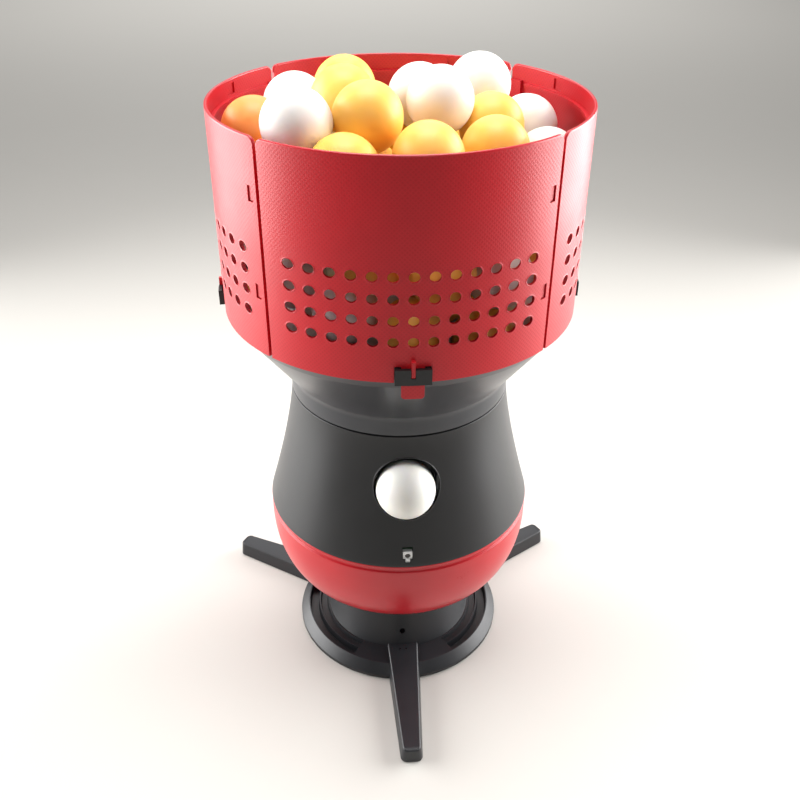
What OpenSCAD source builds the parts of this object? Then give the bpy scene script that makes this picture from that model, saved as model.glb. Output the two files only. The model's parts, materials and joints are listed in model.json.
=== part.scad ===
// Desktop table-tennis ball robot. The head sweeps on a round stand with three legs.
// A feeder disc drops balls down a chute, and two wheels throw them out of the front.
// Millimetres, floor at z = 0, front of the robot toward -Y, angles measured from the front.

/* [Ball and chute] */
// Diameter of the ball
ball_d = 40; // [38:0.5:42]
// Total play around a ball in a hole or channel
ball_play = 4; // [3:0.5:5]
// Slope of the chute floor, degrees
chute_slope = 3; // [2:0.5:4]
// Wall of the chute
chute_t = 2.2; // [1.8:0.1:2.4]
// How far the wheels pinch the ball, in total
pinch = 1.4; // [0.8:0.2:2]

/* [Stand] */
// Radius of the round foot
foot_r = 80.5; // [76:0.5:96]
// Thickness of the round foot
foot_h = 10; // [9:0.5:12]
// Height of the top of the stand
stand_top = 62; // [58:1:70]
// Radius of the stand's neck at its top
stand_neck_r = 46; // [42:1:50]
// Radius of the stand's flare where it meets the foot
flare_r = 57; // [55:0.5:58]
// Radius from the axis to the tip of a leg
leg_reach = 154; // [130:1:184]
// Height of a leg
leg_h = 12; // [11:0.5:14]
// Width of a leg's top at its root
leg_root_w = 23.6; // [20:0.2:26]
// Width of a leg's top at its tip
leg_tip_w = 12.2; // [10:0.2:15]
// How far each side of a leg leans out toward the floor
leg_draft = 1.6; // [0:0.1:2]

/* [Sweep drive] */
// Radius of the pivot post
post_r = 12; // [10:0.5:13]
// Module of the sweep gears
gear_module = 1; // [0.9:0.05:1]
// Teeth of the fixed sweep gear
gear_teeth = 44; // [40:4:44]
// Teeth of the sweep pinion
pinion_teeth = 16; // [16:4:16]

/* [Head shells] */
// Widest radius of the head
body_r = 96.4; // [90:0.2:106]
// Radius of the neck between head and hopper bowl
neck_r = 75.8; // [75:0.2:80]
// Height of the red lower shell
lower_h = 67.3; // [64:0.5:76]
// Height of the black upper shell
upper_h = 94.2; // [94:0.5:110]
// Wall of both shells
shell_t = 2.4; // [2:0.1:2.8]
// Depth of the groove around the lower shell
groove_d = 1.3; // [0.6:0.1:1.5]
// Height of the middle of the ball outlet above the seam between the shells
outlet_rise = 56; // [55:0.5:58]

/* [Hopper] */
// Outer radius of the hopper wall
hopper_r = 116; // [112:0.5:130]
// Height of the hopper wall
hopper_h = 130; // [110:1:156]
// Wall of the hopper panels
panel_t = 2.2; // [1.8:0.1:2.6]
// Gap between neighbouring panels
panel_gap = 2.6; // [2:0.2:4]
// Wall of the hopper bowl
bowl_t = 2.6; // [2.2:0.1:3]
// Height from the neck seam to the lower edge of the panels
bowl_h = 65; // [62:1:76]
// Diameter of the small holes in the panels
vent_d = 6.8; // [4:0.2:8]
// Spacing of the holes along a row
vent_pitch = 11.3; // [10:0.1:11.4]
// Spacing of the rows
vent_row = 13.1; // [10:0.1:14]
// Height of the lowest row above the panel's lower edge
vent_low = 25.7; // [22:0.5:30]
// Width of a panel's tongue
tongue_w = 13.5; // [10:0.5:14]
// How far a tongue hangs below the panel
tongue_drop = 11; // [8:0.5:12]

/* [Wheels and motors] */
// Radius of a launch wheel
wheel_r = 20; // [18:0.5:20]
// Thickness of the wheel's tyre
tyre_t = 6; // [4:0.5:8]
// Height of a launch wheel
wheel_h = 20; // [16:1:22]
// Radius of a wheel motor
motor_r = 14; // [12:0.5:14]
// Length of a wheel motor
motor_len = 31; // [26:1:34]
// Radius of a wheel motor's shaft
shaft_r = 1.5; // [1:0.25:2]
// Radius of the feeder motor
feed_motor_r = 20; // [18:0.5:21]
// Height of the feeder disc
feeder_h = 22; // [16:1:24]

/* [Hidden] */
$fn = 96;

run_gap = 0.05;      // radial clearance of a turning shaft
lift_gap = 0.05;     // face clearance under the turning head
slide_gap = 0.4;     // play of the lifting hopper wall
cut = 1;             // overshoot of a cutting tool

// ball way
way_d = ball_d + ball_play;

// stand
foot_z = 0.8;
foot_top = foot_z + foot_h;
foot_edge = foot_z + 3;
foot_band = foot_r - 6.5;
track_out = foot_band - 1;
track_in = track_out - 7.3;
step_out = track_in - 1.3;
step_in = flare_r + 1.5;
plate_r = stand_neck_r + 1.5;
plate_h = 3;
stand_wall = 4;
leg_root = flare_r - 4.5;
leg_angles = [0, 120, 240];
pad_r = 4.5;
pad_y = leg_reach - 10;
track_spans = [[32, 104], [136, 224], [256, 328]];

// pivot and sweep gears
washer_h = 1.5;
shell_z = stand_top + washer_h + lift_gap;
floor_t = 3;
floor_z = shell_z + floor_t;
hub_h = 2.5;
gear_z = floor_z + hub_h + slide_gap;
gear_h = 6;
gear_gap = 0.1;
gear_pitch_r = gear_module * gear_teeth / 2;
pinion_pitch_r = gear_module * pinion_teeth / 2;
pinion_y = gear_pitch_r + pinion_pitch_r + gear_gap;
post_top = gear_z + gear_h;
cap_h = 1.6;
pinion_shaft_r = 2;
bracket_z = post_top + cap_h + 0.6;
bracket_t = 2.5;
sweep_motor_r = 12;
sweep_motor_len = 28;

// shells
seam_z = shell_z + lower_h;
bulge_z = seam_z - 12.5;
shell_foot_r = body_r - 31;
neck_z = seam_z + upper_h;
curve_n = 14;
taper = 1.35;
lip_h = 1.6;
groove_h = 3.6;
lip_in = 0.6;
outlet_z = seam_z + outlet_rise;
post_spots = [[66, 75], [66, -75], [66, 135], [66, -135]];
deck_post_r = 4;
screw_r = 1.5;

// chute, wheels and deck
way_floor = outlet_z - way_d / 2 - 0.7;
chute_front = 70;
drop_y = way_d / 2 + feed_motor_r + 3.5 + chute_t;
chute_len = chute_front + drop_y;
chute_half = way_d / 2 - 0.5;
chute_side = 30;
deck_t = 3;
deck_z = way_floor - chute_t - 2 - deck_t;
deck_r = 80;
wheel_y = 36;
wheel_x = ball_d / 2 - pinch / 2 + wheel_r;
wheel_mid = way_floor + ball_d / 2;
wheel_z = wheel_mid - wheel_h / 2;

// bowl and feeder
spigot_h = 6;
bowl_floor_z = neck_z + 6;
bowl_floor_t = 3;
cove_z = neck_z + 14;
panel_z = neck_z + bowl_h;
panel_in = hopper_r - panel_t;
rim_r = panel_in - 0.5;
rim_in = rim_r - 3;
rim_top = panel_z + 8;
flare_top_z = panel_z - 8;
feeder_z = bowl_floor_z + bowl_floor_t + 1;
feeder_r = drop_y + way_d / 2 + 0.6;
feed_shaft_r = 3;
feed_motor_z = bowl_floor_z - 20.5;

// panels and keepers
panel_half = 45 - panel_gap / 2 / hopper_r * 180 / PI;
panel_top = panel_z + hopper_h;
corner_r = 4;
overlap_a = 6;
hook_a = 41.8;
hook_w = 4.5;
hook_h = 9.2;
hook_levels = [vent_low + 15, hopper_h - 31];
gap_open = 9;
ledge_drop = 10;
pocket_a = 22.7;
pocket_w = 8.7;
pocket_top = 2;
pocket_bottom = 8.5;
vent_cols = 13;
vent_rows = 4;
keeper_w = tongue_w + 7.2;
keeper_h = 10;
keeper_out = hopper_r + 3.5;
keeper_t = 2;
rib_w = 2.2;

// rear panel
socket_z = shell_z + 36;
socket_w = 44;
socket_h = 24;
socket_y = body_r - 11.5;
rear_t = 2.5;
jack_x = -11;
switch_x = 9;
switch_rest = -8;
rocker_r = 6.3;
rocker_h = 9;

// sensor
sensor_z = seam_z + 5.5;
sensor_w = 6.9;
sensor_h = 9;
sensor_y = 90;

// radius of the lower shell's outside at height z, a quarter ellipse that ends below the seam
function lower_r(z) = z >= bulge_z ? body_r :
    shell_foot_r + (body_r - shell_foot_r) * sqrt(1 - pow((bulge_z - z) / (bulge_z - shell_z), 2));
// radius of the upper shell's outside at height z, a power curve from the seam to the neck
function upper_r(z) = neck_r + (body_r - neck_r) * pow(max(0, 1 - (z - seam_z) / upper_h), taper);
// radius of the bowl's outside at height z: neck, straight flare and rim
function bowl_r(z) = z <= cove_z ? neck_r :
    neck_r + (hopper_r - 7.5 - neck_r) * (z - cove_z) / (flare_top_z - cove_z);

// outline points of a shell between two heights, set in by d
function lower_side(z1, z2, d) = [for (i = [0:curve_n])
    let (s = sin(90 * i / curve_n), z = z1 + (z2 - z1) * (1 - cos(90 * i / curve_n))) [lower_r(z) - d, z]];
function upper_side(z1, z2, d) = [for (i = [0:curve_n])
    let (z = z1 + (z2 - z1) * i / curve_n) [upper_r(z) - d, z]];

// involute gear: polar angle that the involute has unrolled at radius r from base radius rb
function unroll(rb, r) = let (a = acos(min(1, rb / r))) tan(a) * 180 / PI - a;
function tooth_flank(n, m, slack) =
    let (rp = m * n / 2, rb = rp * cos(20), r1 = max(rb, rp - 1.1 * m), r2 = rp + 0.95 * m,
        half = 90 / n + unroll(rb, rp) - slack)
    concat([[rp - 1.25 * m, half - unroll(rb, r1)]],
        [for (k = [0:3]) let (r = r1 + (r2 - r1) * k / 3) [r, half - unroll(rb, r)]]);
function gear_outline(n, m, slack) = let (f = tooth_flank(n, m, slack), e = len(f) - 1)
    [for (i = [0:n - 1]) each concat(
        [for (k = [0:e]) f[k][0] * [cos(i * 360 / n - f[k][1]), sin(i * 360 / n - f[k][1])]],
        [for (k = [e:-1:0]) f[k][0] * [cos(i * 360 / n + f[k][1]), sin(i * 360 / n + f[k][1])]])];

// part of a ring between two angles from the front
module sector(r1, r2, z1, z2, a1, a2) {
    rotate([0, 0, a1 - 90])
        rotate_extrude(angle = a2 - a1)
            translate([r1, z1]) square([r2 - r1, z2 - z1]);
}

module ring(r1, r2, z1, z2) {
    rotate_extrude() translate([r1, z1]) square([r2 - r1, z2 - z1]);
}

// rod along Y from y1 to y2
module rod_y(r, x, z, y1, y2) {
    translate([x, y1, z]) rotate([-90, 0, 0]) cylinder(r = r, h = y2 - y1);
}

// block given by its two corners
module block(a, b) {
    translate(a) cube(b - a);
}

// ---- stand ----

// leg out to a given radius, and a bit lower for a cut: a tapered bar whose sides lean out toward the floor
module leg_bar(reach, lower = 0) {
    root_half = leg_root_w / 2 + leg_draft;
    tip_half = leg_tip_w / 2 + leg_draft;
    turn = atan((root_half - tip_half) / (leg_reach - leg_root));
    lean = atan(leg_draft * cos(turn) / leg_h);
    difference() {
        block([-root_half - 1, -reach, foot_z - lower], [root_half + 1, -leg_root, foot_z + leg_h]);
        for (s = [-1, 1]) translate([s * root_half, -leg_root, foot_z])
            rotate([0, 0, -s * turn]) rotate([0, -s * lean, 0])
                block([min(0, s * 30), -leg_reach - 20, -10], [max(0, s * 30), 20, 30]);
    }
}

module leg() {
    color("#1d1e20") difference() {
        intersection() {
            leg_bar(leg_reach + 6);
            cylinder(r = leg_reach, h = leg_h * 2, $fn = 180);
        }
        translate([0, -pad_y, 0]) cylinder(r = pad_r, h = foot_z + 2);
        for (y = [66, 75]) translate([0, -y, 0]) {
            cylinder(r = screw_r, h = leg_h - 2);
            cylinder(r = 3, h = foot_z + 2);
        }
    }
}

module leg_pad() {
    color("#101010") translate([0, -pad_y, 0]) cylinder(r = pad_r, h = foot_z + 2);
}

module base_stand() {
    color("#202124") difference() {
        rotate_extrude($fn = 180) polygon([
            [0, foot_z], [foot_r, foot_z], [foot_r, foot_edge], [foot_band, foot_top], [flare_r, foot_top],
            [flare_r - 5, foot_top + 14], [stand_neck_r + 1.5, stand_top - 14],
            [stand_neck_r, stand_top - 1], [stand_neck_r - 1, stand_top], [post_r, stand_top],
            [post_r, post_top], [0, post_top]]);
        rotate_extrude() polygon([
            [post_r + 4, foot_z - cut], [stand_neck_r - stand_wall, foot_z - cut],
            [stand_neck_r - stand_wall, stand_top - 14], [stand_neck_r - stand_wall - 6, stand_top - 5],
            [post_r + 4, stand_top - 5]]);
        translate([0, 0, foot_z - cut]) cylinder(r = plate_r, h = plate_h - foot_z + cut);
        for (s = track_spans) {
            sector(track_in, track_out, foot_z + 4, foot_top + cut, s[0], s[1]);
            sector(step_in, step_out, foot_top - 3, foot_top + cut, s[0], s[1]);
        }
        for (a = leg_angles) rotate([0, 0, a]) leg_bar(leg_reach, cut);
        rod_y(2.2, 0, foot_top + 12, -flare_r, -flare_r + 10);
        translate([0, 0, foot_z - cut]) cylinder(r = 2.5, h = post_top + 2 * cut);
        for (a = [60:120:300]) rotate([0, 0, a]) translate([0, -stand_neck_r + 1, foot_z - cut])
            cylinder(r = screw_r, h = 12);
    }
}

module base_plate() {
    color("#26272a") difference() {
        cylinder(r = plate_r, h = plate_h);
        for (a = [60:120:300]) rotate([0, 0, a]) translate([0, -stand_neck_r + 1, -cut]) {
            cylinder(r = screw_r, h = plate_h + 2 * cut);
            cylinder(r = 2.6, h = 1.6 + cut);
        }
    }
}

module cross_screw(head_r, head_h, r, len) {
    difference() {
        union() {
            cylinder(r = head_r, h = head_h, $fn = 32);
            cylinder(r = r, h = len, $fn = 32);
        }
        for (a = [0, 90]) rotate([0, 0, a]) translate([-head_r * 0.6, -0.35, -cut])
            cube([head_r * 1.2, 0.7, cut + head_h * 0.5]);
    }
}

module base_screws() {
    color("silver") {
        for (a = [60:120:300]) rotate([0, 0, a]) translate([0, -stand_neck_r + 1, 0.4])
            cross_screw(2.6, 1.2, screw_r, 11);
        for (a = leg_angles, y = [66, 75]) rotate([0, 0, a]) translate([0, -y, foot_z + 0.4])
            cross_screw(3, 1.6, screw_r, leg_h - 4);
    }
}

module pivot_washer() {
    color("ivory") ring(post_r, post_r + 16, stand_top, stand_top + washer_h);
}

module sweep_gear() {
    color("ivory") translate([0, 0, gear_z]) difference() {
        linear_extrude(gear_h) polygon(gear_outline(gear_teeth, gear_module, 0.35));
        translate([0, 0, -cut]) cylinder(r = post_r, h = gear_h + 2 * cut);
    }
}

module pivot_screw() {
    color("silver") {
        translate([0, 0, post_top]) cylinder(r = post_r + 2.5, h = cap_h);
        translate([0, 0, post_top + cap_h]) difference() {
            cylinder(r = 5, h = 3.2, $fn = 48);
            translate([0, 0, 1.2]) cylinder(r = 2.3, h = 3, $fn = 6);
        }
        translate([0, 0, post_top - 16]) cylinder(r = 2.5, h = 17);
    }
}

// ---- head shells ----

// pocket at the back of the lower shell that takes the rear panel
module socket_pocket(grow, y1) {
    block([-socket_w / 2 - grow, y1, socket_z - socket_h / 2 - grow],
        [socket_w / 2 + grow, body_r + cut, socket_z + socket_h / 2 + grow]);
}

module lower_outside() {
    rotate_extrude($fn = 180) polygon(concat([[0, shell_z]], lower_side(shell_z, bulge_z, 0), [
        [body_r, seam_z - lip_h - groove_h], [body_r - groove_d, seam_z - lip_h - groove_h + 0.5],
        [body_r - groove_d, seam_z - lip_h - 0.4], [body_r, seam_z - lip_h], [body_r, seam_z], [0, seam_z]]));
}

module lower_shell() {
    lip_r = upper_r(seam_z + 4) - shell_t - 0.3;
    inner = [for (p = lower_side(shell_z, bulge_z, shell_t + 0.6)) if (p[1] > floor_z + 0.5) p];
    color("#b3202c") difference() {
        union() {
            difference() {
                lower_outside();
                rotate_extrude($fn = 180) polygon(concat([[0, floor_z], [inner[0][0] - 1.5, floor_z]], inner,
                    [[body_r - shell_t - groove_d, bulge_z + 1], [body_r - shell_t - groove_d, seam_z + cut],
                    [0, seam_z + cut]]));
            }
            ring(lip_r - 2, lip_r, seam_z - 5, seam_z + 3);
            ring(lip_r - 2, body_r - shell_t, seam_z - 5, seam_z - 3);
            ring(post_r + run_gap, post_r + 4, shell_z, floor_z + hub_h);
            for (p = post_spots) rotate([0, 0, p[1]]) translate([0, -p[0], shell_z])
                cylinder(r = deck_post_r, h = deck_z - shell_z);
            for (x = [-24, 24], y = [-60, -32]) translate([x, y, shell_z])
                cylinder(r = 3, h = floor_z - shell_z + 6);
            intersection() {
                socket_pocket(2, socket_y - rear_t);
                lower_outside();
            }
        }
        socket_pocket(0, socket_y - rear_t - cut);
        translate([0, 0, shell_z - cut]) cylinder(r = post_r + run_gap, h = floor_t + hub_h + 2 * cut);
        for (p = post_spots) rotate([0, 0, p[1]]) translate([0, -p[0], deck_z - 14])
            cylinder(r = screw_r, h = 14 + cut);
        for (x = [-24, 24], y = [-60, -32]) translate([x, y, floor_z - 1])
            cylinder(r = 1.1, h = 8);
    }
}

module upper_shell() {
    color("#202124") difference() {
        rotate_extrude($fn = 180) polygon(concat(
            upper_side(seam_z, neck_z, 0),
            [for (i = [curve_n:-1:0]) upper_side(seam_z, neck_z, shell_t)[i]]));
        rod_y(way_d / 2, 0, outlet_z, -body_r - cut, -40);
        block([-sensor_w / 2, -body_r - cut, sensor_z], [sensor_w / 2, -60, sensor_z + sensor_h]);
        block([-1.6, -body_r - cut, sensor_z - 2.3], [1.6, -60, sensor_z + cut]);
    }
}

module sensor_bezel() {
    color("white") difference() {
        union() {
            block([-sensor_w / 2 + 0.3, -upper_r(sensor_z + 3), sensor_z],
                [sensor_w / 2 - 0.3, -sensor_y, sensor_z + 5.4]);
            block([-1.5, -upper_r(sensor_z), sensor_z - 2.3], [1.5, -sensor_y, sensor_z]);
        }
        rod_y(1.9, 0, sensor_z + 2.7, -body_r, -upper_r(sensor_z + 3) + 2);
    }
}

module sensor_lens() {
    color("#241018") rod_y(1.9, 0, sensor_z + 2.7, -upper_r(sensor_z + 3) + 0.4, -upper_r(sensor_z + 3) + 2);
}

module sensor_board() {
    color("darkgreen") {
        block([-7, -sensor_y, sensor_z - 1.9], [7, -sensor_y + 1.6, sensor_z + 6]);
        block([-3, -sensor_y + 1.6, sensor_z], [3, -sensor_y + 4, sensor_z + 4]);
    }
}

module rear_panel() {
    color("#1a1a1c") difference() {
        block([-socket_w / 2, socket_y - rear_t, socket_z - socket_h / 2],
            [socket_w / 2, socket_y, socket_z + socket_h / 2]);
        rod_y(5, jack_x, socket_z, socket_y - rear_t - cut, socket_y + cut);
        block([switch_x - 7.5, socket_y - rear_t - cut, socket_z - 5.5],
            [switch_x + 7.5, socket_y + cut, socket_z + 5.5]);
    }
}

module power_inlet() {
    color("#141414") difference() {
        union() {
            rod_y(5, jack_x, socket_z, socket_y - 12, socket_y);
            rod_y(6.5, jack_x, socket_z, socket_y, socket_y + 1.2);
            block([jack_x - 5, socket_y - 13, socket_z - 5], [jack_x + 5, socket_y - 4, socket_z + 5]);
        }
        rod_y(2.9, jack_x, socket_z, socket_y - 9, socket_y + 2);
    }
    color("silver") rod_y(1, jack_x, socket_z, socket_y - 9.5, socket_y - 0.5);
}

module switch_housing() {
    color("#141414") difference() {
        union() {
            block([switch_x - 7.5, socket_y - 12, socket_z - 5.5], [switch_x + 7.5, socket_y, socket_z + 5.5]);
            block([switch_x - 9, socket_y, socket_z - 7], [switch_x + 9, socket_y + 1.2, socket_z + 7]);
        }
        translate([switch_x, socket_y, socket_z - rocker_h / 2 - 0.2])
            cylinder(r = rocker_r + 0.3, h = rocker_h + 0.4);
    }
}

module switch_rocker() {
    color("#3a3a3c") translate([switch_x, socket_y, socket_z - rocker_h / 2])
        rotate([0, 0, switch_rest]) intersection() {
            cylinder(r = rocker_r, h = rocker_h);
            block([-rocker_r, -3.5, 0], [rocker_r, 3.6, rocker_h]);
        }
}

// ---- inside the head ----

module deck() {
    color("#55585c") difference() {
        translate([0, 0, deck_z]) cylinder(r = deck_r, h = deck_t);
        for (s = [-1, 1]) translate([s * wheel_x, -wheel_y, deck_z - cut])
            cylinder(r = 5, h = deck_t + 2 * cut);
        for (p = post_spots) rotate([0, 0, p[1]]) translate([0, -p[0], deck_z - cut])
            cylinder(r = screw_r, h = deck_t + 2 * cut);
        translate([0, 30, deck_z - cut]) cylinder(r = 12, h = deck_t + 2 * cut);
    }
}

module deck_screws() {
    color("silver") for (p = post_spots) rotate([0, 0, p[1]])
        translate([0, -p[0], deck_z + deck_t + 1.8]) rotate([180, 0, 0]) cross_screw(3, 1.8, screw_r, 14);
}

module control_board() {
    z = floor_z + 6;
    color("darkgreen") difference() {
        block([-28, -64, z], [28, -28, z + 1.6]);
        for (x = [-24, 24], y = [-60, -32]) translate([x, y, z - cut]) cylinder(r = 1.1, h = 4);
    }
    color("#181818") {
        block([-16, -54, z + 1.6], [-4, -42, z + 3.6]);
        block([4, -58, z + 1.6], [9, -50, z + 3.2]);
        block([12, -44, z + 1.6], [24, -36, z + 9]);
    }
    color("silver") for (x = [0, 9]) translate([x, -37, z + 1.6]) cylinder(r = 3.2, h = 10, $fn = 32);
    color("white") block([-26, -40, z + 1.6], [-12, -33, z + 8]);
}

module sweep_bracket() {
    color("silver") difference() {
        union() {
            block([-21, pinion_y - 9, bracket_z], [21, pinion_y + 14, bracket_z + bracket_t]);
            for (s = [-1, 1]) block([min(s * 18.5, s * 21), pinion_y - 6, floor_z],
                [max(s * 18.5, s * 21), pinion_y + 14, bracket_z + cut]);
        }
        translate([0, pinion_y, bracket_z - cut]) cylinder(r = 5, h = bracket_t + 2 * cut);
    }
}

module sweep_motor() {
    z = bracket_z + bracket_t;
    color("#9a9ca0") translate([0, pinion_y, 0]) difference() {
        union() {
            translate([0, 0, z]) cylinder(r = sweep_motor_r, h = sweep_motor_len);
            translate([0, 0, z - bracket_t]) cylinder(r = 5, h = bracket_t + cut);
            translate([0, 0, z + sweep_motor_len]) cylinder(r = sweep_motor_r - 3, h = 4);
        }
        translate([0, 0, z - bracket_t - cut])
            cylinder(r = pinion_shaft_r + run_gap, h = sweep_motor_len);
    }
}

module sweep_shaft() {
    color("silver") translate([0, pinion_y, gear_z])
        cylinder(r = pinion_shaft_r, h = bracket_z + 22 - gear_z);
}

module sweep_pinion() {
    color("ivory") translate([0, pinion_y, gear_z]) difference() {
        rotate([0, 0, 180 / pinion_teeth])
            linear_extrude(gear_h) polygon(gear_outline(pinion_teeth, gear_module, 0.9));
        translate([0, 0, -cut]) cylinder(r = pinion_shaft_r, h = gear_h + 2 * cut);
    }
}

// frame that leans with the chute floor, origin on the floor's top at the front end
module on_chute() {
    translate([0, -chute_front, way_floor]) rotate([chute_slope, 0, 0]) children();
}

module ball_chute() {
    out = chute_half + chute_t;
    tube_z = way_floor + chute_len * tan(chute_slope) - chute_t;
    color("#d8d9da") difference() {
        union() {
            on_chute() block([-out, 0, -chute_t], [out, chute_len, chute_side]);
            translate([0, drop_y, tube_z]) cylinder(r = out, h = bowl_floor_z - tube_z);
            for (s = [-1, 1]) intersection() {
                block([min(s * 14, s * 18), -chute_front + 10, deck_z + deck_t], [max(s * 14, s * 18), drop_y, outlet_z]);
                on_chute() block([-out, 0, -20], [out, chute_len, 0]);
            }
        }
        on_chute() block([-chute_half, -cut, 0], [chute_half, chute_len, chute_side + cut]);
        on_chute() translate([0, chute_len, 0]) cylinder(r = chute_half, h = 120);
        on_chute() block([-chute_half, 0, 0], [chute_half, chute_len, ball_d + 1.5]);
        for (s = [-1, 1]) block([min(s * 15, s * 30), -wheel_y - 16, wheel_z - 2.5],
            [max(s * 15, s * 30), -wheel_y + 16, wheel_z + wheel_h + 20]);
        on_chute() block([-out - cut, -10, chute_side - 22], [out + cut, 6, chute_side + cut]);
    }
}

module wheel_motor(s) {
    color("#a4a6a8") translate([s * wheel_x, -wheel_y, 0]) difference() {
        union() {
            translate([0, 0, deck_z - motor_len]) cylinder(r = motor_r, h = motor_len);
            translate([0, 0, deck_z - cut]) cylinder(r = 5, h = deck_t + cut);
            translate([0, 0, deck_z - motor_len - 2.5]) cylinder(r = 5, h = 3);
            for (k = [-1, 1]) translate([k * 8 - 1, -0.4, deck_z - motor_len - 4]) cube([2, 0.8, 5]);
        }
        translate([0, 0, deck_z - motor_len + 3]) cylinder(r = shaft_r + run_gap, h = motor_len + 10);
    }
}

module wheel_shaft(s) {
    color("silver") translate([s * wheel_x, -wheel_y, deck_z - motor_len + 4])
        cylinder(r = shaft_r, h = wheel_z + wheel_h - 3 - deck_z + motor_len - 4);
}

module wheel_hub(s) {
    low = deck_z + deck_t + 2;
    color("#e8e8e6") translate([s * wheel_x, -wheel_y, 0]) difference() {
        union() {
            translate([0, 0, wheel_z]) cylinder(r = wheel_r - tyre_t, h = wheel_h);
            translate([0, 0, low]) cylinder(r = 5, h = wheel_z - low + cut);
        }
        translate([0, 0, low - cut]) cylinder(r = shaft_r, h = wheel_z + wheel_h - 3 - low + cut);
        rotate_extrude() translate([5, wheel_z + wheel_h - 6])
            square([wheel_r - tyre_t - 7.5, 6 + cut]);
    }
}

module wheel_tyre(s) {
    e = 1.5;
    color("#2a2a2c") translate([s * wheel_x, -wheel_y, wheel_z]) rotate_extrude() polygon([
        [wheel_r - tyre_t, 0], [wheel_r - e, 0], [wheel_r, e], [wheel_r, wheel_h - e],
        [wheel_r - e, wheel_h], [wheel_r - tyre_t, wheel_h]]);
}

// ---- hopper ----

module hopper_bowl() {
    flare_r_top = bowl_r(flare_top_z);
    color("#6c7076") difference() {
        union() {
            rotate_extrude($fn = 180) polygon([
                [neck_r - shell_t - 2.2, neck_z - spigot_h], [neck_r - shell_t, neck_z - spigot_h],
                [neck_r - shell_t, neck_z], [neck_r, neck_z], [neck_r, cove_z - 4],
                [neck_r + 0.6, cove_z - 1], [neck_r + 2.6, cove_z + 3.4],
                [flare_r_top, flare_top_z], [rim_r - 1.6, flare_top_z + 4], [rim_r, flare_top_z + 8],
                [rim_r, rim_top], [rim_in, rim_top], [rim_in, flare_top_z + 9],
                [rim_in - 1.5, flare_top_z + 5.5], [flare_r_top - bowl_t * 0.9, flare_top_z + bowl_t * 0.8],
                [neck_r + 2.6 - bowl_t, cove_z + 4.8], [neck_r - bowl_t, cove_z],
                [neck_r - bowl_t, bowl_floor_z + bowl_floor_t], [neck_r - bowl_t, neck_z]]);
            translate([0, 0, bowl_floor_z]) cylinder(r = neck_r - 1, h = bowl_floor_t);
            translate([0, 0, bowl_floor_z - 2]) ring(feed_motor_r, feed_motor_r + 2, 0, 2 + cut);
        }
        translate([0, drop_y, bowl_floor_z - 4]) cylinder(r = way_d / 2 - 0.5, h = bowl_floor_t + 8);
        translate([0, 0, bowl_floor_z - 4]) cylinder(r = feed_shaft_r + 1, h = bowl_floor_t + 8);
        for (a = [0:90:270]) rotate([0, 0, a])
            sector(rim_r - 1.5, rim_r + 1, rim_top - 8, rim_top + cut, -keeper_a, keeper_a);
    }
}

keeper_a = asin(keeper_w / 2 / hopper_r);

module keeper() {
    slot_a = asin((keeper_w / 2 - keeper_t) / hopper_r);
    color("#17181a") difference() {
        union() {
            sector(rim_r - 1.5, rim_r, rim_top - 8, rim_top, -keeper_a, keeper_a);
            sector(rim_r - 1.5, keeper_out, panel_z, rim_top, -keeper_a, -slot_a);
            sector(rim_r - 1.5, keeper_out, panel_z, rim_top, slot_a, keeper_a);
            sector(hopper_r + 1.2, keeper_out, panel_z, panel_z + keeper_h, -keeper_a, keeper_a);
        }
        block([-rib_w / 2 - 0.3, -keeper_out - cut, panel_z + 4.4], [rib_w / 2 + 0.3, -hopper_r, panel_z + keeper_h + cut]);
    }
}

module feed_motor() {
    color("#b8babc") difference() {
        union() {
            translate([0, 0, feed_motor_z]) cylinder(r = feed_motor_r, h = bowl_floor_z - feed_motor_z);
            translate([-6, -feed_motor_r - 4, feed_motor_z + 3]) cube([12, 6, 9]);
        }
        translate([0, 0, feed_motor_z + 4]) cylinder(r = feed_shaft_r + run_gap, h = 40);
    }
}

module feed_shaft() {
    color("silver") translate([0, 0, feed_motor_z + 5])
        cylinder(r = feed_shaft_r, h = feeder_z + feeder_h - 4 - feed_motor_z - 5);
}

module feeder_disc() {
    color("#3b3e42") difference() {
        union() {
            translate([0, 0, feeder_z]) cylinder(r = feeder_r, h = feeder_h);
            translate([0, 0, feeder_z + feeder_h]) cylinder(r1 = 22, r2 = 10, h = 9);
        }
        for (a = [0:90:270]) rotate([0, 0, a]) translate([0, drop_y, feeder_z - cut])
            cylinder(r = way_d / 2, h = feeder_h + 12);
        translate([0, 0, feeder_z - cut]) cylinder(r = feed_shaft_r, h = feeder_h - 4 + cut);
    }
}

module ball_guard() {
    z = feeder_z + feeder_h + 4;
    reach = bowl_r(z) - bowl_t * 1.35;
    color("#4a4d52") sector(drop_y - 12, reach, z, z + 2.4, 160, 200);
}

// rounds a panel's corner: angle of the edge, height, radius, side (-1 left, 1 right), 1 top or -1 bottom
module corner_cut(a, z, r, side, up) {
    rotate([0, 0, a]) translate([-side * r, -hopper_r - cut, z - up * r]) difference() {
        block([min(0, side * (r + cut)), 0, min(0, up * (r + cut))],
            [max(0, side * (r + cut)), 12, max(0, up * (r + cut))]);
        rotate([-90, 0, 0]) translate([0, 0, -cut]) cylinder(r = r + 0.15, h = 12 + 2 * cut, $fn = 48);
    }
}

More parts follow.
